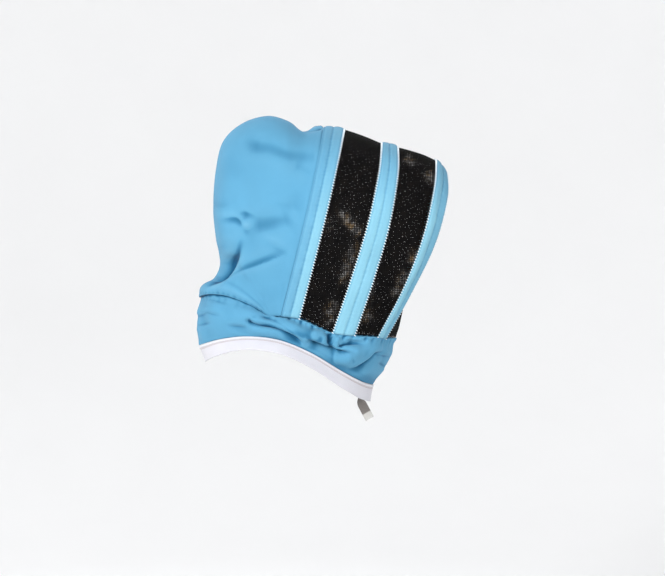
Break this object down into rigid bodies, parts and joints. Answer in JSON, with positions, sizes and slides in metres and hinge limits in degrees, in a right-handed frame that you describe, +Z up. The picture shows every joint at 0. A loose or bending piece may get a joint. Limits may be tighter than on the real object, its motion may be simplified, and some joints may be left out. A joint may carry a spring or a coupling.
{
  "type": "beekeeper's fencing-style veil hood",
  "caption": "Soft cloth hood with see-through black net on sprung hoops, loose gathered back, neck skirt and taped hem, shown in its worn form.",
  "frame": {"origin": "the middle of the neck opening, at the level where the hood sits on the wearer's collar", "axes": "+Z up, -Y towards the face, +X to the wearer's left"},
  "size_m": [0.2782, 0.3743, 0.4586],
  "materials": {
    "blue_cotton": "matt woven cotton",
    "band_cotton": "matt woven cotton over hoops",
    "black_net": "black mesh with a slight sheen",
    "white_tape": "matt woven tape"
  },
  "bodies": {
    "root": {"hood_back_right": "blue_cotton", "hood_back_left": "blue_cotton", "hoop_band_rear": "band_cotton", "net_rear": "black_net", "hoop_band_middle": "band_cotton", "net_middle": "black_net", "hoop_band_front": "band_cotton", "net_face": "black_net", "neck_skirt": "blue_cotton", "hem_tape": "white_tape", "tape_tail": "white_tape"}
  },
  "joints": []
}
